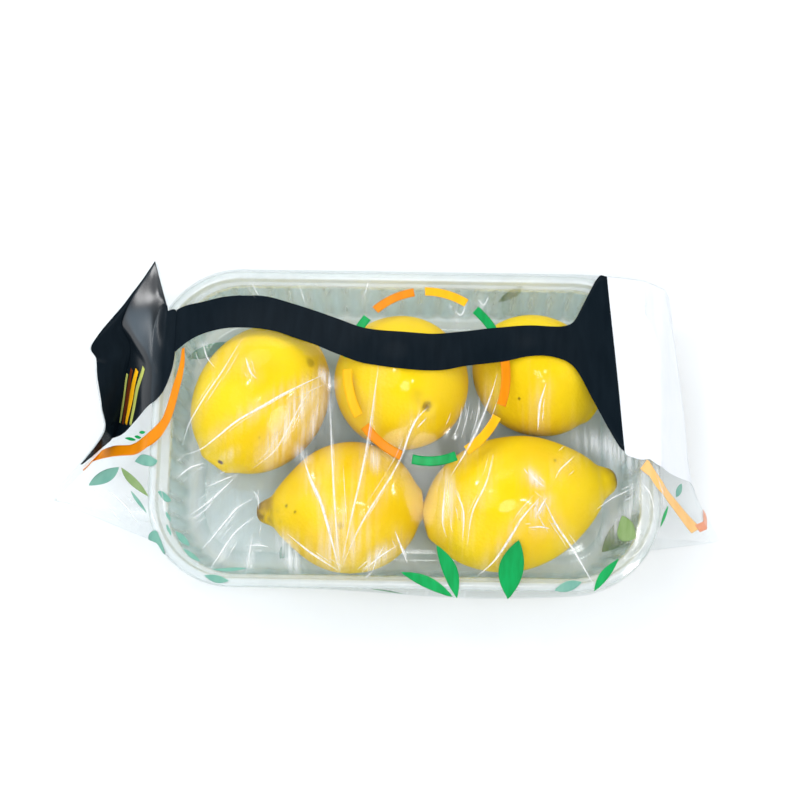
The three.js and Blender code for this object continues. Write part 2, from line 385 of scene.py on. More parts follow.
def slope_place(start, edge, s):
    """From the tray's end to a seal: level over the rim, then straight down to the crease."""
    reach = np.maximum(rim_reach(start[..., 1]) - END_X, 0)
    over = np.minimum(reach / (np.abs(edge[..., 0]) - END_X), 0.9)
    place = start + (edge - start) * s[..., None]
    rim = np.minimum(start[..., 2], RIM_HEIGHT + FILM_GAP)
    near = start[..., 2] + (rim - start[..., 2]) * s / np.maximum(over, 1e-6)
    far = rim + (edge[..., 2] - rim) * (s - over) / (1 - over)
    place[..., 2] = np.where(s < over, near, far)
    return place


def past_tray(u):
    """How far u lies past the tray, and its shares of the way down the slope and out along the fin."""
    past = (u - END_X)[..., None]
    return past, np.clip(past / SLOPE_RUN, 0, 1), np.clip((past - SLOPE_RUN) / FIN_WIDTH, 0, 1)


def film_base(u, v):
    """The smooth film at (u, v): over the tray, down a slope or out along a fin, by u.

    v runs across the top from the back edge to the front edge, and past either it runs down that
    side to the base. On a slope the side runs straight to the end of the seal.
    """
    u, v = np.broadcast_arrays(np.asarray(u, float), np.asarray(v, float))
    t = np.clip(v / SHEET_WIDTH, 0, 1)
    x = np.clip(u, -END_X, END_X)
    down = np.clip(np.maximum(-v, v - SHEET_WIDTH) / SIDE_RUN, 0, 1)
    on_side = (down > 0)[..., None]
    place = np.where(on_side, side_place(x, down, v > SHEET_WIDTH / 2), tray_top(x, t))
    for seal, side in SEALS:
        past, s, f = past_tray(side * u)
        crease, fin, thick = seal_parts(seal, t)
        edge = crease + thick * SEAL_GAP * (1 - 2 * down)[..., None]
        slope = np.where(on_side, place + (edge - place) * s, slope_place(place, edge, s[..., 0]))
        place = np.where(past > 0, slope, place)
        place = np.where(past > SLOPE_RUN, edge + fin * f, place)
    return place


def film_normal(u, v):
    """The film's outward unit normal, from chords half a millimetre either way."""
    step = 0.5
    du = film_base(u + step, v) - film_base(u - step, v)
    dv = film_base(u, v + step) - film_base(u, v - step)
    return unit(np.cross(dv, du))


# Relief of the film on a grid of the sheet, half a millimetre a step: its folds stand up as round
# ridges, and long shallow ripples cross it
RELIEF_STEP = 0.5
RELIEF_U = np.arange(-FIN_EDGE, FIN_EDGE + RELIEF_STEP, RELIEF_STEP)
RELIEF_V = np.arange(-SIDE_RUN, SHEET_WIDTH + SIDE_RUN + RELIEF_STEP, RELIEF_STEP)

# A fold's height and spread, and the haze beside it, which is partly painted sheen, and how far that spreads
FOLD_HEIGHT = 0.45
FOLD_SPREAD = 1.5
FOLD_HAZE = 0.28
HAZE_SPREAD = 4.0

# The depth of the ripples over the tray and what the slack slopes add, and the crimp's depth
TAUT_RIPPLE = 0.05
SLACK_RIPPLE = 0.22
CRIMP_DEPTH = 0.14


def smooth_step(low, high, x):
    f = np.clip((x - low) / (high - low), 0, 1)
    return f * f * (3 - 2 * f)


def fold_field(lines):
    """Over the sheet, the greatest of the lines' bell curves in the distance from each, lower
    towards a line's two ends. A line is its spread, its strength and its points."""
    u, v = np.meshgrid(RELIEF_U, RELIEF_V, indexing="ij")
    field = np.zeros(u.shape)
    for spread, strength, points in lines:
        reach = 3 * spread
        count = 4 * len(points)
        line = curve_through(points, count)
        low, high = line.min(0) - reach, line.max(0) + reach
        i = slice(*np.searchsorted(RELIEF_U, [low[0], high[0]]))
        j = slice(*np.searchsorted(RELIEF_V, [low[1], high[1]]))
        for k, (a, b) in enumerate(zip(line[:-1], line[1:])):
            along = b - a
            f = ((u[i, j] - a[0]) * along[0] + (v[i, j] - a[1]) * along[1]) / (along @ along)
            f = np.clip(f, 0, 1)
            near = np.hypot(u[i, j] - a[0] - f * along[0], v[i, j] - a[1] - f * along[1])
            fade = strength * np.sin(np.pi * (k + f) / (count - 1)) ** 0.6
            field[i, j] = np.maximum(field[i, j], fade * np.exp(-((near / spread) ** 2)))
    return field


def ripples():
    """Long shallow waves that run mostly across the pack, deeper on the slack slopes."""
    draw = np.random.default_rng(7)
    u, v = np.meshgrid(RELIEF_U, RELIEF_V, indexing="ij")
    waves = np.zeros(u.shape)
    for _ in range(9):
        length = draw.uniform(9, 26)
        angle = draw.normal(0.15, 0.35)
        phase = draw.uniform(0, 2 * np.pi)
        bend = draw.uniform(-6, 6)
        along = u * math.cos(angle) + v * math.sin(angle) + bend * np.sin(v / draw.uniform(25, 45))
        waves += np.sin(2 * np.pi * along / length + phase)
    slack = TAUT_RIPPLE + SLACK_RIPPLE * smooth_step(END_X - 6, END_X + 12, np.abs(u))
    flat = smooth_step(FIN_EDGE, FIN_EDGE - FIN_WIDTH - 4, np.abs(u))
    edge = smooth_step(0, 8, np.abs(v)) * smooth_step(0, 8, np.abs(v - SHEET_WIDTH))
    return waves / 3 * slack * flat * edge


def crimp():
    """Fine ridges pressed along both fins, two millimetres apart."""
    past = np.abs(RELIEF_U) - (END_X + SLOPE_RUN + 1.5)
    wave = CRIMP_DEPTH * np.sin(np.pi * past) ** 2 * (past > 0) * (past < FIN_WIDTH - 2.5)
    return np.broadcast_to(wave[:, None], (len(RELIEF_U), len(RELIEF_V)))


def all_folds(spread):
    return fold_field([(spread, strength, points) for _, strength, points in FOLDS])


# The film's milky share: partly real haze, partly painted sheen and painted light
HAZE_AND_SHEEN = np.maximum(FOLD_HAZE * all_folds(HAZE_SPREAD), fold_field(VEILS_AND_SHEENS))
RELIEF = FOLD_HEIGHT * all_folds(FOLD_SPREAD) + ripples() + crimp()


def on_sheet(grid, u, v):
    return read_grid(grid, (u + FIN_EDGE) / RELIEF_STEP, (v + SIDE_RUN) / RELIEF_STEP)


def film_place(u, v, lift=0.0):
    """A place on the creased film, or lift above it."""
    height = on_sheet(RELIEF, u, v) + lift
    return film_base(u, v) + film_normal(u, v) * height[..., None]


def add_object(name, data):
    made = bpy.data.objects.new(name, data)
    bpy.context.scene.collection.objects.link(made)
    return made


def build_mesh(name, points, faces, attributes=None, uv=None):
    """A smooth mesh object from points in millimetres and faces, with coincident points joined and
    all faces pointing out."""
    mesh = bpy.data.meshes.new(name)
    mesh.from_pydata((np.asarray(points) * MM).tolist(), [], [list(f) for f in faces])
    for key, values in (attributes or {}).items():
        mesh.attributes.new(key, "FLOAT", "POINT").data.foreach_set("value", np.asarray(values, np.float32))
    if uv is not None:
        corners = np.empty(len(mesh.loops), np.int32)
        mesh.loops.foreach_get("vertex_index", corners)
        mesh.uv_layers.new(name="sheet").data.foreach_set("uv", np.asarray(uv, np.float32)[corners].ravel())
    work = bmesh.new()
    work.from_mesh(mesh)
    bmesh.ops.remove_doubles(work, verts=work.verts, dist=1e-7)
    bmesh.ops.recalc_face_normals(work, faces=work.faces)
    work.to_mesh(mesh)
    work.free()
    mesh.polygons.foreach_set("use_smooth", np.full(len(mesh.polygons), True))
    return add_object(name, mesh)


def grid_faces(rows, columns, wrap=False):
    """Quads of a grid of points, rows by columns, joined round its columns if wrap is set."""
    i = np.arange(rows - 1)[:, None]
    j = np.arange(columns if wrap else columns - 1)[None, :]
    k = (j + 1) % columns
    low, high = i * columns, (i + 1) * columns
    return np.stack([low + j, low + k, high + k, high + j], -1).reshape(-1, 4)


def finish_piece(piece, material):
    piece.data.materials.append(material)
    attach(piece, "root")
    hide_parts(NODE)


# Shader helpers

# The greatest share of clear plastic's light that is mirrored
GLOSS_CAP = 0.35

# How milky the tray is at a rib's crest and at its rim, and the heights that the rim's haze fills between
RIB_HAZE = 0.16
RIM_HAZE = 0.22
HAZY_RIM = (41, 47)

# The soft rim of a mark on the rind, as a share of its radius, and how far noise shifts it at most
SPOT_RIM = 0.4
MARK_SHIFT = 0.8

MARK_BROWN = (0.085, 0.03, 0.004, 1)
# The tip colour: partly the rind's own brown, partly painted shade
TIP_BROWN_AND_SHADE = (0.10, 0.045, 0.012, 1)
TIP_SHARE = 0.95
INK_SPECULAR = 0.15


def new_material(name):
    material = bpy.data.materials.new(name)
    material.use_nodes = True
    material.node_tree.nodes.clear()
    return material, material.node_tree


def node(tree, kind, settings=None, **sockets):
    """A shader node of a kind: settings are its properties, and sockets its values or links, each
    under its name or, as i0 and so on, its number."""
    made = tree.nodes.new("ShaderNode" + kind)
    for key, value in (settings or {}).items():
        setattr(made, key, value)
    for key, value in sockets.items():
        numbered = key[0] == "i" and key[1:].isdigit()
        socket = made.inputs[int(key[1:]) if numbered else key.replace("_", " ")]
        if isinstance(value, bpy.types.NodeSocket):
            tree.links.new(value, socket)
        else:
            socket.default_value = value
    return made


def maths(tree, operation, a, b, clamp=False):
    return node(tree, "Math", {"operation": operation, "use_clamp": clamp}, i0=a, i1=b).outputs[0]


def mixed_colour(tree, factor, a, b):
    return node(tree, "Mix", {"data_type": "RGBA"}, i0=factor, i6=a, i7=b).outputs[2]


def mixed_shader(tree, share, a, b):
    return node(tree, "MixShader", i0=share, i1=a, i2=b).outputs[0]


def ramp(tree, value, *stops):
    """A ramp through (position, colour) stops, where a plain number is a grey."""
    made = node(tree, "ValToRGB", i0=value)
    for element, (position, colour) in zip(made.color_ramp.elements, stops):
        element.position = position
        element.color = grey(colour) if isinstance(colour, float) else colour
    return made.outputs["Color"]


def smooth_range(tree, value, low, high, most=1.0):
    """Nothing at low and most at high, with a smooth step between."""
    return node(
        tree, "MapRange", {"interpolation_type": "SMOOTHSTEP"},
        Value=value, From_Min=low, From_Max=high, To_Min=0.0, To_Max=most,
    ).outputs[0]


def grey(value):
    return (value, value, value, 1.0)


def attribute(tree, name):
    return node(tree, "Attribute", {"attribute_name": name}).outputs["Fac"]


def object_place(tree):
    return node(tree, "TexCoord").outputs["Object"]


def sheet_place(tree):
    return node(tree, "UVMap", {"uv_map": "sheet"}).outputs[0]


def object_noise(tree, scale, detail):
    return node(tree, "TexNoise", Vector=object_place(tree), Scale=scale, Detail=detail).outputs["Fac"]


def sheet_noise(tree, stretch, detail=3.0):
    """Noise on the film's own coordinates, in millimetres of film."""
    mapped = node(tree, "Mapping", Vector=sheet_place(tree), Scale=stretch).outputs[0]
    return node(tree, "TexNoise", Vector=mapped, Scale=1.0, Detail=detail).outputs["Fac"]


def clear_plastic(name, tint, edge_tint_and_shade, gloss_index, mirror_roughness, haze):
    """A clear skin: what is behind shows through a tint that deepens at the edges, partly the plastic's own
    tint and partly painted shade for the dark surroundings that edges refract, a mirror gloss follows the
    Fresnel law up to a cap, and haze is the share of milky white."""
    material, tree = new_material(name)
    facing = node(tree, "LayerWeight", Blend=0.35).outputs["Facing"]
    # The deeper edge tint is partly painted shade
    colour = mixed_colour(tree, facing, tint, edge_tint_and_shade)
    clear = node(tree, "BsdfTransparent", Color=colour).outputs[0]
    gloss = node(tree, "BsdfGlossy", Color=grey(1.0), Roughness=mirror_roughness).outputs[0]
    fresnel = node(tree, "Fresnel", IOR=gloss_index).outputs[0]
    skin = mixed_shader(tree, maths(tree, "MINIMUM", fresnel, GLOSS_CAP), clear, gloss)
    milk = node(tree, "BsdfPrincipled", Base_Color=grey(0.95), Roughness=0.35).outputs[0]
    node(tree, "OutputMaterial", Surface=mixed_shader(tree, haze(tree), skin, milk))
    return material


def film_material():
    """Thin clear film: milky near sharp folds and in wide patches, partly real haze and partly painted sheen
    and painted light, with faint streaks of haze.
    """
    def haze(tree):
        streak = sheet_noise(tree, (0.55, 0.035, 1), 2)
        faint = ramp(tree, streak, (0.56, 0.001), (0.72, 0.015))
        broken = ramp(tree, streak, (0.36, 0.14), (0.64, 0.65))
        # The haze attribute carries painted sheen and painted light as well as real haze
        return maths(tree, "ADD", faint, maths(tree, "MULTIPLY", attribute(tree, "haze"), broken), True)

    return clear_plastic("clear_film", (0.995, 0.998, 1, 1), (0.96, 0.985, 0.99, 1), 1.28, 0.1, haze)


def pleat_glint_material():
    """A sharp fold of film: white and glossy along its middle, the white partly the crease's own whitening
    and partly painted glint, fading to clear at its sides and ends.
    """
    material, tree = new_material("pleated_film")
    broken = ramp(tree, sheet_noise(tree, (0.9, 0.25, 1)), (0.32, 0.35), (0.55, 1.0))
    clear = node(tree, "BsdfTransparent", Color=grey(1.0)).outputs[0]
    # This white stands partly for the crease's own whitening and partly for painted glint
    white = node(tree, "BsdfPrincipled", Base_Color=grey(0.97), Roughness=0.25).outputs[0]
    share = maths(tree, "MULTIPLY", attribute(tree, "strength"), broken, True)
    node(tree, "OutputMaterial", Surface=mixed_shader(tree, share, clear, white))
    return material


def tray_material():
    """Clear thermoformed plastic with a grey-green cast at its edges, partly its own tint and partly painted
    shade, a little haze, and a milky rim and ribs."""
    def haze(tree):
        cloud = ramp(tree, object_noise(tree, 60, 2), (0.35, 0.05), (0.75, 0.12))
        cloud = maths(tree, "ADD", cloud, maths(tree, "MULTIPLY", attribute(tree, "rib"), RIB_HAZE))
        height = node(tree, "SeparateXYZ", i0=object_place(tree)).outputs["Z"]
        low, high = HAZY_RIM
        return maths(tree, "ADD", cloud, smooth_range(tree, height, low * MM, high * MM, RIM_HAZE), True)

    return clear_plastic("clear_tray", (0.96, 0.98, 0.975, 1), (0.70, 0.83, 0.81, 1), 1.38, 0.12, haze)


def spot_mask(tree, place, centre, radius):
    """One inside radius of a point and nothing past it, with a soft rim."""
    at = tuple(c * MM for c in centre)
    apart = node(tree, "VectorMath", {"operation": "DISTANCE"}, i0=place, i1=at).outputs["Value"]
    return smooth_range(tree, apart, radius * (1 + SPOT_RIM) * MM, radius * (1 - SPOT_RIM) * MM)


# Marks on the rind: the lemon, the place in plan, the radius and the strength of each brown mark
MARKS = {
    "lemon_upper_left": ((-83.6, -16.0, 1.3, 1.0), (-65.2, -7.0, 0.6, 0.5), (-43.2, 28.9, 2.4, 0.4)),
    "lemon_upper_middle": ((9.8, 6.7, 2.3, 0.8), (10.2, 6.4, 1.0, 0.9)),
    "lemon_upper_right": ((51.2, 13.5, 0.8, 0.7),),
    "lemon_lower_left": (
        (-52.0, -36.3, 1.1, 0.7), (-48.5, -39.4, 0.7, 0.6), (-35.9, -28.6, 0.6, 0.5),
        (-54.8, -37.5, 2.6, 0.5), (-54.0, -42.0, 2.2, 0.5), (-28.0, -46.2, 1.6, 0.3),
    ),
    "lemon_lower_right": ((66.8, -14.9, 0.9, 0.4), (24.0, -42.0, 0.6, 0.5)),
}


def lemon_material(name, one, warmth):
    """Waxy dimpled rind: two close yellows in soft patches, a brown tip that is partly the rind's own colour
    and partly painted shade, and a few small marks.
    """
    material, tree = new_material(name)
    place = object_place(tree)
    pale = (0.93, 0.675 - 0.03 * warmth, 0.002, 1)
    deep = (0.87, 0.58 - 0.03 * warmth, 0.0005, 1)
    patches = ramp(tree, object_noise(tree, 32, 3), (0.35, 0.0), (0.68, 1.0))
    colour = mixed_colour(tree, patches, pale, deep)
    blotch = ramp(tree, object_noise(tree, 260, 3), (0.3, 0.25), (0.58, 1.0))
    # The tip's brown is partly painted shade
    brown = maths(tree, "MULTIPLY", attribute(tree, "tip"), blotch)
    colour = mixed_colour(tree, maths(tree, "MULTIPLY", brown, TIP_SHARE, True), colour, TIP_BROWN_AND_SHADE)
    ragged = node(tree, "TexNoise", Vector=place, Scale=900.0, Detail=1.0).outputs["Color"]
    reach = (2 * MARK_SHIFT * MM,) * 3
    shift = node(tree, "VectorMath", {"operation": "MULTIPLY_ADD"}, i0=ragged, i1=reach, i2=place).outputs[0]
    for x, y, radius, strength in MARKS[name]:
        centre = np.array([x, y, max(top_height(one, x, y), one["centre"][2])]) + MARK_SHIFT
        mask = spot_mask(tree, shift, centre, radius)
        colour = mixed_colour(tree, maths(tree, "MULTIPLY", mask, strength), colour, MARK_BROWN)
    pores = node(tree, "TexVoronoi", Vector=place, Scale=620.0).outputs["Distance"]
    skin = maths(tree, "ADD", pores, maths(tree, "MULTIPLY", object_noise(tree, 260, 2), 1.2))
    normal = node(tree, "Bump", Height=skin, Strength=0.35, Distance=0.0004).outputs[0]
    rind = node(
        tree, "BsdfPrincipled", Base_Color=colour, Roughness=0.45, Normal=normal, Specular_IOR_Level=0.06,
    )
    node(tree, "OutputMaterial", Surface=rind.outputs[0])
    return material


def ink_material(name, colour, dark, roughness=0.3, gloss=None):
    """Ink on film: its colour a little uneven along the sheet, its specular level drawn by gloss."""
    material, tree = new_material(name)
    streak = ramp(tree, sheet_noise(tree, (0.3, 0.06, 1)), (0.35, 0.0), (0.7, 1.0))
    tone = mixed_colour(tree, streak, (*colour, 1), (*dark, 1))
    specular = gloss(tree) if gloss else INK_SPECULAR
    ink = node(tree, "BsdfPrincipled", Base_Color=tone, Roughness=roughness, Specular_IOR_Level=specular)
    node(tree, "OutputMaterial", Surface=ink.outputs[0])
    return material


# The film


def film_rows():
    """u of each row of the film mesh, from the left fin's edge to the right fin's edge."""
    tray = np.linspace(-END_X, END_X, STATIONS + 1)
    slope = END_X + SLOPE_RUN * np.linspace(0, 1, SLOPE_ROWS + 1)[1:]
    fin = END_X + SLOPE_RUN + FIN_WIDTH * np.linspace(0, 1, FIN_ROWS + 1)[1:]
    end = np.concatenate([slope, fin])
    return np.concatenate([-end[::-1], tray, end])


def underside(u, t):
    """The film under the tray, t from its front edge to its back edge, and under the slopes and fins."""
    def straight(at):
        front, back = film_base(at, SHEET_WIDTH + SIDE_RUN), film_base(at, -SIDE_RUN)
        return front + (back - front) * t[..., None]

    u, t = np.broadcast_arrays(u, t)
    place = straight(u)
    for seal, side in SEALS:
        past, s, f = past_tray(side * u)
        crease, fin, thick = seal_parts(seal, 1 - t)
        seam = crease - thick * SEAL_GAP + fin * f
        end = straight(np.full(u.shape, side * END_X))
        place = np.where(past > 0, end + (seam - end) * s, place)
        place = np.where(past > SLOPE_RUN, seam, place)
    return place


def make_film():
    """The film as a closed bag: rings round the pack, each over the top from back to front, down the
    front, under to the back and up the back, with each fin's edge closed by a strip."""
    u = film_rows()[:, None]
    v = np.linspace(0, SHEET_WIDTH, ACROSS + 1)[None, :]
    down = np.linspace(0, SIDE_RUN, SIDE_ROWS + 1)[1:-1][None, :]
    t = np.linspace(0, 1, UNDER_COLUMNS + 1)[None, :]
    over, front, back = (
        film_place(*np.broadcast_arrays(u, part)) for part in (v, SHEET_WIDTH + down, -down[:, ::-1])
    )
    rings = np.concatenate([over, front, underside(u, t), back], 1)
    rows, columns = rings.shape[:2]
    spread = ACROSS // UNDER_COLUMNS
    j, k = np.arange(ACROSS), np.arange(UNDER_COLUMNS)
    under_end = ACROSS + SIDE_ROWS + UNDER_COLUMNS
    strip = [
        *np.stack([j, under_end - j // spread, j + 1], -1),
        *np.stack([(k + 1) * spread, under_end - k, under_end - k - 1], -1),
        ACROSS + np.arange(SIDE_ROWS + 1),
        np.append(0, columns - 1 - np.arange(SIDE_ROWS)),
    ]
    ends = [(first + face).tolist() for first in (0, (rows - 1) * columns) for face in strip]
    under_v = SHEET_WIDTH + SIDE_RUN + UNDER_WIDTH * t
    full_v = np.concatenate([v, SHEET_WIDTH + down, under_v, -down[:, ::-1]], 1)
    sheet_u, sheet_v = np.broadcast_arrays(u, full_v)
    on_top = (sheet_v > -SIDE_RUN) & (sheet_v < SHEET_WIDTH + SIDE_RUN)
    # The haze attribute holds painted sheen and painted light as well as real haze
    haze = np.where(on_top, on_sheet(HAZE_AND_SHEEN, sheet_u, sheet_v), 0)
    piece = build_mesh(
        "film", rings.reshape(-1, 3), grid_faces(rows, columns, wrap=True).tolist() + ends,
        {"haze": haze.ravel()}, np.stack([sheet_u.ravel(), sheet_v.ravel()], -1),
    )
    finish_piece(piece, film_material())


# The print


# A pleat's height, and how far its faces lie off the film at its rim
PLEAT_HEIGHT = 0.5
PLEAT_LIFT = 0.06
PLEAT_FOOT = 0.02


def closed_patch(outer, inner, u, v):
    """A closed thin patch: an outer face, an inner face under it and the rim between them."""
    rows, columns = u.shape
    points = np.concatenate([outer.reshape(-1, 3), inner.reshape(-1, 3)])
    count = rows * columns
    faces = grid_faces(rows, columns)
    index = np.arange(count).reshape(rows, columns)
    border = np.concatenate([index[0], index[1:, -1], index[-1, -2::-1], index[-2:0:-1, 0]])
    after = np.roll(border, -1)
    rim = np.stack([border, border + count, after + count, after], -1)
    sheet = np.tile(np.stack([u.ravel(), v.ravel()], -1), (2, 1))
    return points, np.concatenate([faces, faces[:, ::-1] + count, rim]), sheet


def joined(patches):
    """Several patches as one: their points, their faces numbered on, and whatever else each holds."""
    points, faces, *rest = zip(*patches)
    first = np.cumsum([0, *map(len, points)])
    numbered = np.concatenate([f + shift for f, shift in zip(faces, first)])
    return [np.concatenate(points), numbered.tolist(), *map(np.concatenate, rest)]


def slab(u, v, lift, place):
    return closed_patch(place(u, v, lift), place(u, v, lift - INK_DEPTH), u, v)


def between(first, second, rows, columns):
    """A grid of sheet places whose rows run straight from one curve to another."""
    a, b = curve_through(first, rows), curve_through(second, rows)
    f = np.linspace(0, 1, columns)[None, :, None]
    grid = a[:, None] + (b - a)[:, None] * f
    return grid[..., 0], grid[..., 1]


def ribbon(points, widths, rows, columns=7):
    """A strip of the sheet along a curve, its width running through widths from end to end."""
    line = curve_through(points, rows)
    along = np.gradient(line, axis=0)
    across = unit(np.stack([-along[:, 1], along[:, 0]], -1))
    width = np.interp(np.linspace(0, 1, rows), np.linspace(0, 1, len(widths)), widths)
    f = np.linspace(-0.5, 0.5, columns)[None, :, None]
    grid = line[:, None] + across[:, None] * width[:, None, None] * f
    return grid[..., 0], grid[..., 1]


def leaf(start, end, width, bend=0.0):
    """A leaf: its half width is a power of a sine of the way along, bowed sideways by bend."""
    start, end = np.asarray(start, float), np.asarray(end, float)
    along = end - start
    across = unit(np.array([-along[1], along[0]]))
    k = np.linspace(0, 1, 22)[:, None, None]
    f = np.linspace(-0.5, 0.5, 7)[None, :, None]
    bow = np.sin(np.pi * k)
    grid = start + along * k + across * (bend * bow + width * bow ** 0.85 * f)
    return grid[..., 0], grid[..., 1]


def arc(start, end):
    """A dash of the ring, between two angles in degrees, on its ellipse of the sheet."""
    angle = np.radians(np.linspace(start, end, 40))[:, None]
    f = np.linspace(-0.5, 0.5, 6)[None, :] * RING_WIDTH
    u = RING_CENTRE[0] + (RING_RADII[0] + f) * np.cos(angle)
    v = RING_CENTRE[1] - (RING_RADII[1] + f) * np.sin(angle)
    return u, v


def pleat(points, width, strength, rows):
    """A sharp fold standing on the film: its height is a tent across it and a sine along it."""
    columns = 5
    u, v = ribbon(points, (0.25 * width, width, width, 0.25 * width), rows, columns)
    across = 1 - np.abs(np.linspace(-1, 1, columns))[None, :]
    along = np.sin(np.pi * np.linspace(0, 1, rows))[:, None]
    rise = across * along ** 0.4
    outer = film_place(u, v, PLEAT_LIFT + PLEAT_HEIGHT * rise)
    inner = film_place(u, v, PLEAT_FOOT)
    points, faces, sheet = closed_patch(outer, inner, u, v)
    return points, faces, sheet, np.tile((strength * across * along ** 0.5).ravel(), 2)


def make_pleats():
    """Each fold as one sharp pleat with a few finer ones drawn beside it."""
    draw = np.random.default_rng(11)
    made = []
    for width, strength, points in FOLDS:
        points = np.asarray(points, float)
        length = np.linalg.norm(np.diff(points, axis=0), axis=1).sum()
        made.append(pleat(points, width * 0.9, strength, max(12, int(length * 1.2))))
        for _ in range(3):
            line = curve_through(points, 24)
            first = draw.integers(0, 12)
            part = line[first:first + draw.integers(7, 12):3]
            shift = draw.normal(0, 2.4, 2)
            made.append(pleat(part + shift, draw.uniform(0.45, 0.8), strength * draw.uniform(0.3, 0.8), 16))
    points, faces, sheet, strength = joined(made)
    piece = build_mesh("film_pleats", points, faces, {"strength": strength}, sheet)
    finish_piece(piece, pleat_glint_material())


def make_print(name, material, patches, place=film_place):
    """One piece of ink from several patches of the sheet, each with its own lift."""
    points, faces, sheet = joined([slab(u, v, lift, place) for (u, v), lift in patches])
    finish_piece(build_mesh(name, points, faces, uv=sheet), material)


INK_DEPTH = 0.1
LIFT = 0.25
OVER = 0.42
STRIPE_LIFT = 0.6

BAND_TOP = (
    (-105.5, 8), (-94, 12.5), (-84, 13), (-75.5, 13), (-64, 13.5), (-52, 17), (-43, 20), (-31, 24.5),
    (-18.5, 29.5), (-1.5, 32), (10, 32), (22, 30), (39, 27), (55.5, 25.5), (70, 25.6), (75.5, 23.5),
    (79.5, 17), (84, 8), (88.5, 0.4), (92, 0.4),
)
BAND_LOW = (
    (-105.5, 33), (-97, 30), (-84.5, 29), (-77.5, 29), (-68.5, 29.5), (-59.5, 31), (-51, 34), (-42, 37),
    (-30.5, 42), (-18, 47), (-1, 50), (13, 49.5), (27.5, 45.5), (45, 42.5), (55, 40.5), (66, 40.7),
    (75.5, 44.5), (84, 59), (96, 83), (98.5, 86.5),
)
PANEL_RIGHT = (
    (-112, 0.4), (-108, 4), (-105.5, 9), (-105.3, 20), (-105.5, 38), (-107.5, 47.5), (-112.5, 60),
    (-119, 73.5), (-127, 92.5), (-132, 104.5), (-137, 112), (-142.5, 119), (-148, 125),
)
WHITE_LEFT = (
    (91.6, 0.4), (94, 28), (96.5, 58), (98.6, 86.8), (103, 91.8), (108, 96.5), (115, 102), (122.5, 106.5),
    (137, 111), (FIN_EDGE - 0.4, 114),
)
STRIPS = {
    "left": ((
        (-101.5, 33), (-101.7, 42.5), (-104, 55), (-107, 69), (-111.5, 80.5), (-117, 92.5), (-124, 105),
        (-131, 113), (-136, 121), (-138, 128),
    ), (1.2, 3.6, 4.0, 4.2, 4.4, 4.4, 2.0), 90),
    "right": (((107, 98), (115, 112.5), (122.5, 123.5), (130.5, 138)), (3.5, 4.2, 4.5, 5.5), 50),
    "corner": (((131, 137), (138, 134.5), (FIN_EDGE - 0.5, 127)), (4.5, 4.5, 3.5), 30),
}
AMBER_STRIPES = ((((-130.2, 95), (-130, 78), (-128.6, 60)), (1.2, 2.8, 2.2)),)
BROWN_STRIPES = ((((-132.2, 97), (-132.6, 80), (-132.2, 63)), (1.0, 2.0, 1.6)),)
LIME_STRIPES = (
    (((-134, 98), (-134.8, 82), (-134.6, 68)), (0.8, 1.5, 1.1)),
    (((-127.6, 93), (-126.6, 74), (-124.2, 54)), (1.1, 2.2, 1.8)),
)

# Leaves, each by its start, its end, its width and how far it bows
GREEN_LEAVES = (
    ((50.5, 121.5), (46.5, 146), 11, 1.0), ((14.5, 124), (24, 146), 6.5, -1.5),
    ((-1, 136.5), (22, 145.5), 5, -1.0), ((95.5, 135), (84.5, 145), 5, 1.0),
    ((-14, 160), (0, 151), 3.4, 0.5), ((118.5, 123.5), (113.5, 134.5), 1.6),
    ((-129.5, 103.5), (-124, 99), 1.6), ((-125, 98), (-121, 94.5), 1.6), ((-122.5, 93), (-119, 89), 1.4),
)
FADED_LEAVES = (
    ((-131, 133), (-126.3, 118), 4.5), ((-121.5, 110), (-111, 98), 5), ((-119, 125), (-112.5, 131.5), 1.8),
    ((-110, 116), (-104, 114.5), 4.5), ((-106, 122.5), (-104, 126), 2.0),
    ((-105.5, 129), (-103.5, 133), 2.0), ((-101.5, 129), (-95, 132), 4.0), ((-98, 135), (-90, 137), 2.6),
    ((-84.5, 139), (-69, 137.5), 1.6), ((-110, 139), (-107.5, 152), 5.5),
    ((-88, 142.8), (-77, 143.2), 3.4), ((67, 143), (79, 140), 4.5), ((124, 119), (129, 111.5), 3.2),
)
OLIVE_LEAVES = (
    ((-125.5, 117.5), (-112.8, 122.2), 4.5), ((97, 116), (103, 131), 7, 1.5), ((44, -30), (54, -12), 6, -1),
)
OLIVE_UNDER = (((95.5, -50.5), (114, -31.5), 10), ((60, 62), (40, 47), 7.5))
FADED_UNDER = (((-107.4, 41), (-88, 50), 6), ((-59, -56), (-53, -48), 6))

CREASE_U = END_X + SLOPE_RUN
PRINT_EDGE = 0.4
UNDER_LIFT = 0.4

# The ring: its middle and radii on the sheet, its dashes and the share of a turn that each fills
RING_CENTRE = (9.3, 49.2)
RING_RADII = (35.5, 39.2)
RING_START = 20
RING_WIDTH = 4.2
DASHES = 9
DASH_SHARE = 0.8

# Where the black ink's gloss sets in along the sheet, past the crease and down the slope
BLACK_FADES = ((-CREASE_U - 0.5, -CREASE_U + 1.5), (-110.0, -127.0))
MATT_SPECULAR = 0.03


def straight_rows(curve, edge_u, rows, columns):
    """Rows of the sheet at equal v from a curve out to a fixed u."""
    dense = curve_through(curve, 400)
    v = np.linspace(dense[0, 1], dense[-1, 1], rows)[:, None]
    inner = np.interp(v, dense[:, 1], dense[:, 0])
    f = np.linspace(0, 1, columns)[None, :]
    return inner + (edge_u - inner) * f, v + 0 * f


def dashes():
    """A ring of nine dashes: green, amber and orange in turn, with a gap after each."""
    turn = 360 / DASHES
    starts = RING_START + turn * np.arange(DASHES)
    ring = [(arc(start, start + turn * DASH_SHARE), LIFT) for start in starts]
    return ring[::3], ring[1::3], ring[2::3]


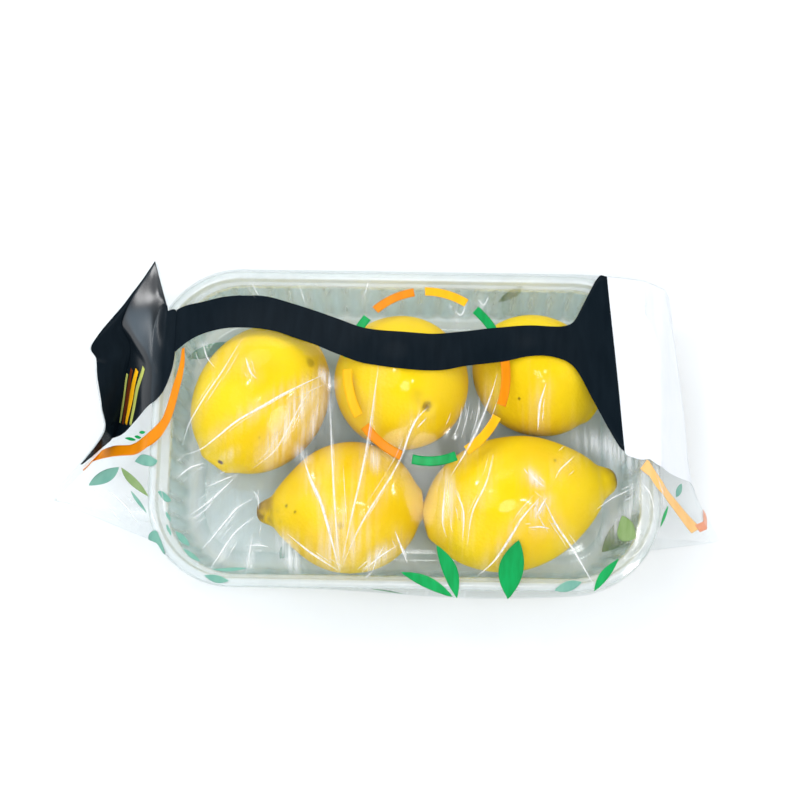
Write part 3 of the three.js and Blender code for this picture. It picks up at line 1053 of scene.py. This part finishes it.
def under_place(x, y, lift):
    """A place just above the film's underside, over plan coordinates x and y."""
    return np.stack([x, y, base_height(x) + UNDER_LIFT + lift], -1)


def black_gloss(tree):
    """Specular level of the black ink: glossy on the left slope, matt on the fin and over the tray."""
    along = node(tree, "SeparateXYZ", i0=sheet_place(tree)).outputs["X"]
    shares = [smooth_range(tree, along, *fade) for fade in BLACK_FADES]
    return maths(tree, "ADD", maths(tree, "MULTIPLY", *shares), MATT_SPECULAR)


def leaves(rows, lift=LIFT):
    return [(leaf(*row), lift) for row in rows]


def stripes(rows):
    """Stripes on the black panel, each by its three points and its three widths."""
    return [(ribbon(points, widths, 24), STRIPE_LIFT) for points, widths in rows]


def black_patches():
    """The band over the pack, the panel on the left slope and the panel's run over the fin."""
    panel = np.array(PANEL_RIGHT)
    v = np.linspace(panel[0, 1], panel[-1, 1], 24)
    on_fin = np.stack([np.minimum(-CREASE_U, np.interp(v, panel[:, 1], panel[:, 0]) - 0.5), v], -1)
    return (
        (between(BAND_TOP, BAND_LOW, 260, 30), OVER),
        (straight_rows(on_fin, PRINT_EDGE - FIN_EDGE, 130, 30), OVER),
        (between(panel, on_fin, 130, 50), OVER),
    )


# The inks: two close colours each and, where they differ from the rest, a roughness and a gloss
INKS = {
    "black": ((0.004, 0.008, 0.012), (0.006, 0.011, 0.016), 0.25, black_gloss),
    "white": ((0.81, 0.83, 0.86), (0.78, 0.81, 0.85), 0.35),
    "green": ((0.003, 0.36, 0.09), (0.002, 0.26, 0.055)),
    "orange": ((0.80, 0.25, 0.002), (0.70, 0.21, 0.001)),
    "amber": ((0.92, 0.48, 0.008), (0.86, 0.41, 0.006)),
    "pale_amber": ((0.88, 0.54, 0.21), (0.84, 0.47, 0.15)),
    "salmon": ((0.80, 0.36, 0.22), (0.76, 0.28, 0.15)),
    "brown": ((0.11, 0.020, 0.005), (0.16, 0.032, 0.006)),
    "faded_green": ((0.20, 0.42, 0.33), (0.14, 0.35, 0.28), 0.5),
    "olive": ((0.25, 0.36, 0.15), (0.18, 0.29, 0.09), 0.5),
    "lime": ((0.52, 0.56, 0.14), (0.42, 0.46, 0.09)),
}


def make_prints():
    """Each ink on the film, and the faded leaves on the underside."""
    ink = {name: ink_material(name + "_ink", *look) for name, look in INKS.items()}
    green_dashes, amber_dashes, orange_dashes = dashes()
    white = [(straight_rows(WHITE_LEFT, FIN_EDGE - PRINT_EDGE, 130, 80), LIFT)]
    strips = {name: [(ribbon(*strip), LIFT)] for name, strip in STRIPS.items()}
    for name, slot, colour, patches in (
        ("black_print", "black_print", "black", black_patches()),
        ("white_print", "white_print", "white", white),
        ("green_print", "green_print", "green", leaves(GREEN_LEAVES) + green_dashes),
        ("orange_print", "orange_print", "orange", strips["left"] + orange_dashes),
        ("amber_print", "orange_print", "amber", amber_dashes + stripes(AMBER_STRIPES)),
        ("right_strip", "orange_print", "pale_amber", strips["right"]),
        ("right_corner", "orange_print", "salmon", strips["corner"]),
        ("brown_print", "orange_print", "brown", stripes(BROWN_STRIPES)),
        ("lime_print", "green_print", "lime", stripes(LIME_STRIPES)),
        ("faded_print", "green_print", "faded_green", leaves(FADED_LEAVES)),
        ("olive_print", "green_print", "olive", leaves(OLIVE_LEAVES)),
    ):
        make_print(name, ink[colour], patches)
    make_print("olive_underprint", ink["olive"], leaves(OLIVE_UNDER, 0.0), under_place)
    make_print("faded_underprint", ink["faded_green"], leaves(FADED_UNDER, 0.0), under_place)


# The tray


RIB_COUNT = 76
RIB_SAMPLES = 8
RIB_DEPTH = 1.4
TRAY_SKIN = 0.5

# The wall's section from the lip to the floor: how far in from the rim's edge at the tray's ends and
# at its long sides, and how high
LIP_AND_LEDGE = (
    (0.0, 0.0, 46.6), (0.0, 0.0, 49.2), (0.5, 0.5, 49.9), (3.2, 3.2, 50.0), (3.8, 3.8, 49.4),
    (4.2, 4.0, 46.6), (4.8, 4.4, 46.0), (7.8, 5.2, 45.7), (8.3, 5.6, 45.2), (8.6, 5.9, 42.4),
    (9.0, 6.2, 42.0),
)
WALL_FOOT = (10.8, 9.4, 8.0)
FLOOR_EDGE = (16.2, 15.7, 1.6)
FLOOR_STEP = ((19.0, 18.5, 1.6), (19.3, 18.8, 2.8))
PANEL_EDGE = (20.0, 19.5, 3.0)
WALL_ROWS = 16
FILLET_ROWS = 6
FLOOR_ROWS = 22


def outline_places():
    """Places round a rounded rectangle: shares of its straight sides, and the direction out.

    A place is (share_x (L - R) + R cos a, share_y (W - R) + R sin a), so one set serves every inset.
    """
    long_side = TRAY_LENGTH - 2 * CORNER_RADIUS
    short_side = TRAY_WIDTH - 2 * CORNER_RADIUS
    corner = math.pi / 2 * CORNER_RADIUS
    total = 2 * (long_side + short_side) + 4 * corner
    s = np.arange(RIB_COUNT * RIB_SAMPLES) / (RIB_COUNT * RIB_SAMPLES) * total
    stops = np.cumsum([0, short_side, corner, long_side, corner, short_side, corner, long_side, corner])
    angles = np.array([0, 0, 90, 90, 180, 180, 270, 270, 360])
    share_x = np.array([1, 1, 1, -1, -1, -1, -1, 1, 1])
    share_y = np.array([-1, 1, 1, 1, 1, -1, -1, -1, -1])
    x, y, angle = (np.interp(s, stops, values) for values in (share_x, share_y, angles))
    return x, y, np.radians(angle)


def make_tray():
    """The tray as one section carried round its rim: lip, flange, ledge, ribbed wall, fillet, floor."""
    share_x, share_y, angle = outline_places()
    top, foot, edge = np.array(LIP_AND_LEDGE[-1]), np.array(WALL_FOOT), np.array(FLOOR_EDGE)
    down = np.linspace(0, 1, WALL_ROWS + 1)[1:, None] ** 1.7
    bend = np.linspace(0, np.pi / 2, FILLET_ROWS + 1)[1:, None]
    turned = np.concatenate([1 - np.cos(bend), 1 - np.cos(bend), np.sin(bend)], 1)
    fillet = foot + (edge - foot) * turned
    section = np.concatenate([LIP_AND_LEDGE, top + (foot - top) * down, fillet, FLOOR_STEP, [PANEL_EDGE]])
    end_inset, side_inset, height = (section[:, k][:, None] for k in range(3))
    ribbed = smooth_step(41.9, 40.4, height) * smooth_step(2.5, 9, height)
    wave = 0.5 + 0.5 * np.cos(2 * np.pi * np.arange(len(angle)) / RIB_SAMPLES)
    radius = np.maximum(CORNER_RADIUS - (end_inset + side_inset) / 2, 12)
    ribs = ribbed * wave[None, :] ** 1.5
    around = radius + RIB_DEPTH * ribs
    x = share_x * (TRAY_LENGTH / 2 - end_inset - radius) + around * np.cos(angle)
    y = share_y * (TRAY_WIDTH / 2 - side_inset - radius) + around * np.sin(angle)
    walls = np.stack([x, y, height + 0 * x], -1)
    shrink = np.linspace(1, 0, FLOOR_ROWS + 1)[1:, None, None]
    floor = walls[-1][None] * [1, 1, 0] * shrink
    floor[..., 2] = PANEL_EDGE[2]
    rings = np.concatenate([walls, floor])
    rows, columns = rings.shape[:2]
    crest = np.zeros((rows, columns))
    crest[:len(walls)] = ribs
    faces = grid_faces(rows, columns, wrap=True).tolist()
    piece = build_mesh("tray", rings.reshape(-1, 3), faces, {"rib": crest.ravel()})
    skin = piece.modifiers.new("skin", "SOLIDIFY")
    skin.thickness = TRAY_SKIN * MM
    skin.offset = -1
    finish_piece(piece, tray_material())


# The lemons

LEMON_ROWS = 110
LEMON_COLUMNS = 150

# Where a stem scar dents a lemon, in plan
STEM_SCARS = {"lemon_upper_middle": (9.8, 6.7)}

# How brown a tip is, partly the rind's own colour and partly painted shade, and how far down it in radians,
# and the same reach at the neck
SHADED_BROWN_TIPS = {"lemon_lower_left": (0.9, 0.22), "lemon_lower_right": (1.0, 0.12)}
PLAIN_TIP = (0.2, 0.1)
NECK_BROWN = 0.1

# The spread of a tip's blunt end and of its taper, in radians
NIPPLE_ANGLE = 0.15
TAPER_ANGLE = 0.4

# A dimple in a raised ring: the ring's height, angle and spread, and the dimple's depth and spread
NECK = (1.6, 0.16, 0.1, 1.2, 0.07)
SCAR = (0.5, 0.15, 0.06, 1.5, 0.07)

# Swells of the rind: how tightly each set waves and its share, with their height over a small shrink
SWELLS = ((2.2, 0.5), (4.0, 0.3), (8.0, 0.14))
SWELL_HEIGHT = 0.28
SHRINK = 0.35


def bell(angle, spread, power=2):
    """A bell curve: e to minus a power of the angle over its spread."""
    return np.exp(-(angle / spread) ** power)


def ringed_dimple(angle, sizes):
    height, ring_angle, ring_spread, depth, spread = sizes
    return height * bell(angle - ring_angle, ring_spread) - depth * bell(angle, spread)


def make_lemon(name, one, seed):
    """A lemon: the ellipsoid's radius in each direction, with a tip that stands out at one end as a
    bell curve of the angle from the axis, a dimpled neck at the other and soft uneven swells."""
    draw = np.random.default_rng(seed)
    polar = np.linspace(0, np.pi, LEMON_ROWS + 1)[:, None]
    turn = np.linspace(0, 2 * np.pi, LEMON_COLUMNS, endpoint=False)[None, :]
    axis = one["axis"]
    side = unit(np.cross(axis, (0.0, 0.0, 1.0) if abs(axis[2]) < 0.9 else (1.0, 0.0, 0.0)))
    ring = np.cos(turn)[..., None] * side + np.sin(turn)[..., None] * np.cross(axis, side)
    direction = np.cos(polar)[..., None] * axis + np.sin(polar)[..., None] * ring
    radius = 1 / np.hypot(np.cos(polar) / one["along"], np.sin(polar) / one["across"])
    radius = radius + one["tip"] * (bell(polar, NIPPLE_ANGLE, 4) + bell(polar, TAPER_ANGLE)) / 2
    back = np.pi - polar
    radius = radius + ringed_dimple(back, NECK)
    if name in STEM_SCARS:
        x, y = STEM_SCARS[name]
        toward = unit(np.array([x, y, top_height(one, x, y)]) - one["centre"])
        radius = radius + ringed_dimple(np.arccos(np.clip(direction @ toward, -1, 1)), SCAR)
    swell = np.zeros(direction.shape[:2])
    for size, share in SWELLS:
        for _ in range(3):
            wave = size * unit(draw.normal(size=3))
            swell += share * np.sin(direction @ wave + draw.uniform(0, 2 * np.pi))
    radius = radius - SHRINK + SWELL_HEIGHT * swell
    points = one["centre"] + direction * radius[..., None]
    share, reach = SHADED_BROWN_TIPS.get(name, PLAIN_TIP)
    # The tip share is partly the rind's own brown and partly painted shade
    tip = np.maximum(share * bell(polar, reach, 4), bell(back, NECK_BROWN)) + 0 * turn
    faces = grid_faces(LEMON_ROWS + 1, LEMON_COLUMNS, wrap=True).tolist()
    piece = build_mesh(name, points.reshape(-1, 3), faces, {"tip": tip.ravel()})
    finish_piece(piece, lemon_material(name, one, draw.uniform(0, 1)))


# The studio

# The lights, all facing one place: each one's place, power, size and, where it isn't white, colour
LIGHT_AIM = (0, 0, 40)
LIGHTS = (
    ("softbox", (-350, 1150, 950), 4, 0.9),
    ("front_light", (30, -190, 930), 2, 0.3),
    ("side_panel", (-430, 60, 890), 1.5, 0.62, (0.62, 0.82, 1.0)),
    ("glint_left", (-330, 250, 900), 0.5, 0.05),
    ("glint_right", (260, -60, 950), 0.5, 0.05),
)

# Where the camera stands, its height above the horizon and its turn in its own plane, in degrees
CAMERA_PLACE = (-2.59, -108.58, 673.83)
CAMERA_ELEVATION = 79
CAMERA_ROLL = 0.88


def make_floor():
    """A wide pale sheet just under the pack."""
    size = 3.0
    under = -0.0004
    mesh = bpy.data.meshes.new("studio_floor")
    corners = [(-size, -size, under), (size, -size, under), (size, size, under), (-size, size, under)]
    mesh.from_pydata(corners, [], [(0, 1, 2, 3)])
    material, tree = new_material("pale_floor")
    cloud = ramp(tree, object_noise(tree, 3, 2), (0.3, (0.9, 0.92, 0.94, 1)), (0.7, (0.93, 0.94, 0.95, 1)))
    matt = node(tree, "BsdfPrincipled", Base_Color=cloud, Roughness=0.9, Specular_IOR_Level=0.1)
    node(tree, "OutputMaterial", Surface=matt.outputs[0])
    mesh.materials.append(material)
    add_object("studio_floor", mesh)


def stand(thing, side, up, away, place):
    """Puts a light or camera at a place in millimetres, its own x, y and z along three directions."""
    turned = np.stack([side, up, away, np.array(place) * MM], -1)
    thing.matrix_world = Matrix([*turned.tolist(), [0, 0, 0, 1]])


def area_light(name, place, power, size, colour=(1.0, 1.0, 1.0)):
    """A round area light at a place in millimetres, facing LIGHT_AIM."""
    light = bpy.data.lights.new(name, "AREA")
    light.shape = "DISK"
    light.energy = power
    light.color = colour
    light.size = size
    away = unit(np.subtract(place, LIGHT_AIM))
    side = unit(np.cross((0.0, 1.0, 0.0) if abs(away[1]) < 0.9 else (1.0, 0.0, 0.0), away))
    stand(add_object(name, light), side, np.cross(away, side), away, place)


def make_lights():
    """A pale even room that is dimmer straight overhead, a large soft light from behind, one from
    above the camera and small glints."""
    world = bpy.data.worlds.new("room")
    bpy.context.scene.world = world
    world.use_nodes = True
    tree = world.node_tree
    tree.nodes.clear()
    up = node(tree, "TexCoord").outputs["Generated"]
    height = node(tree, "SeparateXYZ", i0=up).outputs["Z"]
    strength = node(
        tree, "MapRange", Value=height, From_Min=0.72, From_Max=0.93, To_Min=1.16, To_Max=0.25,
    ).outputs[0]
    sky = node(tree, "Background", Color=(0.97, 0.985, 1.0, 1), Strength=strength).outputs[0]
    node(tree, "OutputWorld", Surface=sky)
    for light in LIGHTS:
        area_light(*light)
    scene = bpy.context.scene
    scene.view_settings.view_transform = "Standard"
    scene.cycles.max_bounces = 8
    scene.cycles.diffuse_bounces = 2
    scene.cycles.glossy_bounces = 3
    scene.cycles.transparent_max_bounces = 28


def make_camera():
    """The photograph's view: from above and a little in front, turned slightly in its own plane."""
    elevation, roll = math.radians(CAMERA_ELEVATION), math.radians(CAMERA_ROLL)
    forward = np.array([0, math.cos(elevation), -math.sin(elevation)])
    right = np.array([1.0, 0, 0])
    up = np.cross(right, forward)
    across = math.cos(roll) * right + math.sin(roll) * up
    upward = -math.sin(roll) * right + math.cos(roll) * up
    camera = bpy.data.cameras.new("camera")
    camera.sensor_width = 36
    camera.lens = 63
    camera.clip_start = 0.01
    holder = add_object("camera", camera)
    stand(holder, across, upward, -forward, CAMERA_PLACE)
    bpy.context.scene.camera = holder


make_camera()
make_film()
make_pleats()
make_prints()
make_tray()
for seed, (lemon_name, one_lemon) in enumerate(LEMONS.items()):
    make_lemon(lemon_name, one_lemon, seed)
make_floor()
make_lights()
